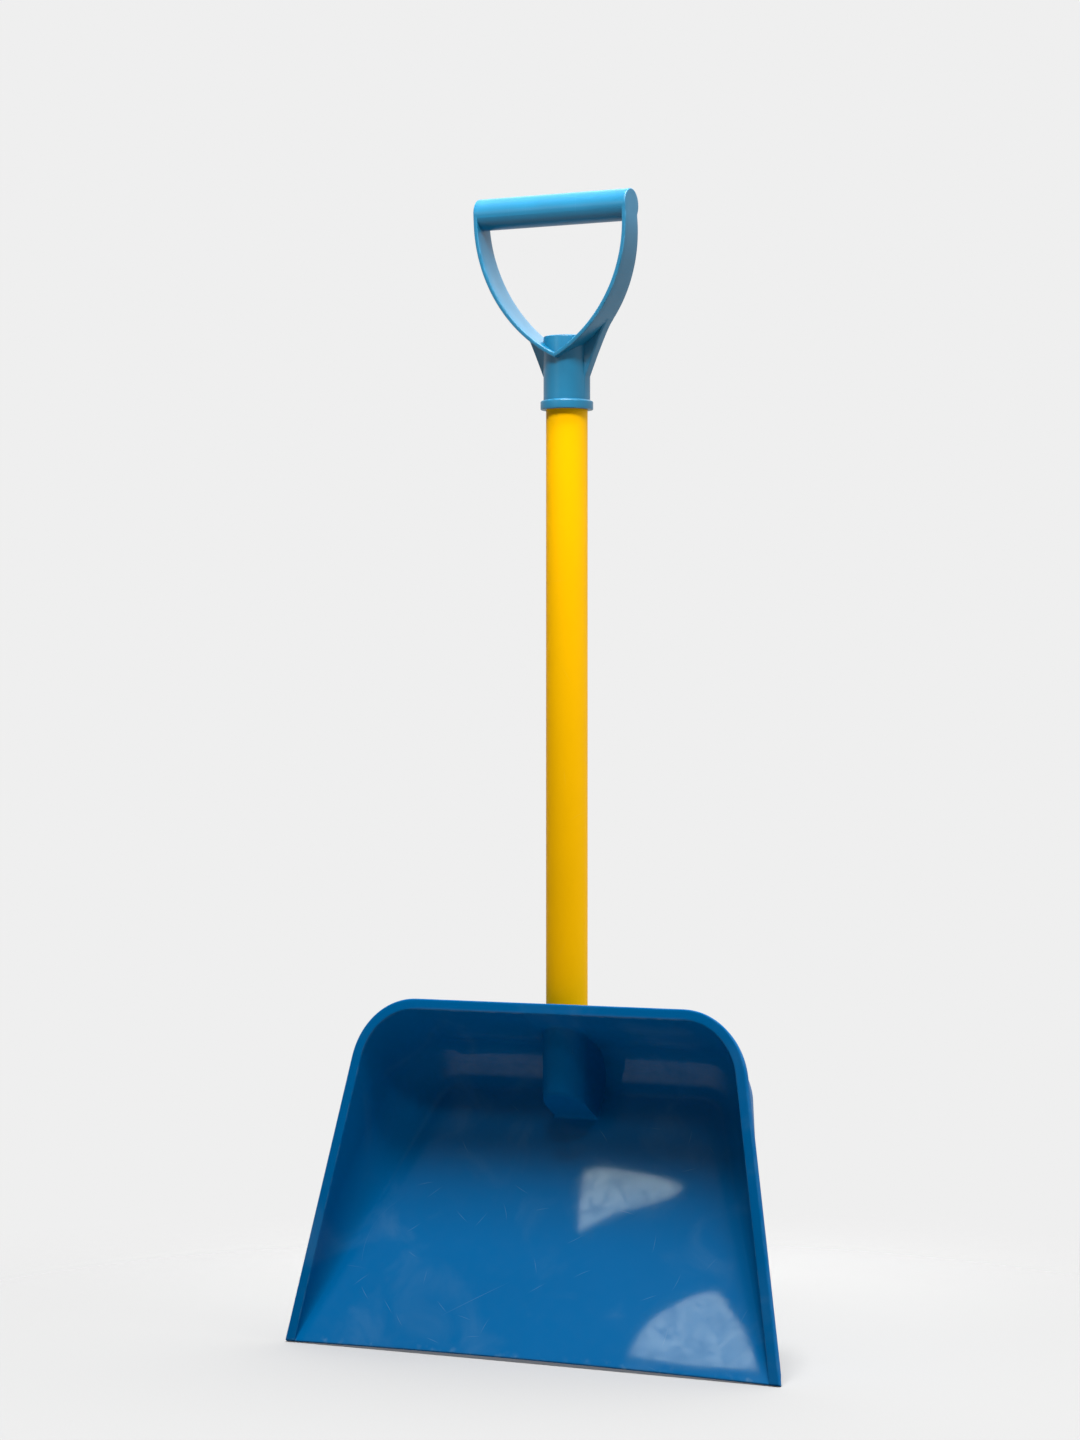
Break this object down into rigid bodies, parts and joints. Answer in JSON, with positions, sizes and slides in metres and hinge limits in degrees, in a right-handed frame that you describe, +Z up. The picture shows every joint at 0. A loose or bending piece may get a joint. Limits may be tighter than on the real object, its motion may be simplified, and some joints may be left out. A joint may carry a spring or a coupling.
{
  "type": "snow shovel",
  "caption": "Small snow shovel: a deep moulded scoop with a flat flanged rim on a straight tube handle, topped by an open D-shaped hand grip.",
  "frame": {"origin": "bottom centre of the part's box: the middle of the width and of the depth, at the height of the front edge that the upright shovel stands on", "axes": "+Z up along the handle towards the grip, -Y towards the scoop's open side, X across the scoop"},
  "size_m": [0.3252, 0.0807, 0.6898],
  "materials": {
    "scoop_plastic": "deep blue polypropylene, glossy, scuffed inside",
    "tube_plastic": "warm yellow plastic, satin gloss",
    "grip_plastic": "lighter blue polypropylene, satin gloss",
    "screw_steel": "zinc-plated steel"
  },
  "bodies": {
    "root": {"scoop": "scoop_plastic", "handle_tube": "tube_plastic", "grip": "grip_plastic", "fixing_screws": "screw_steel"}
  },
  "joints": []
}
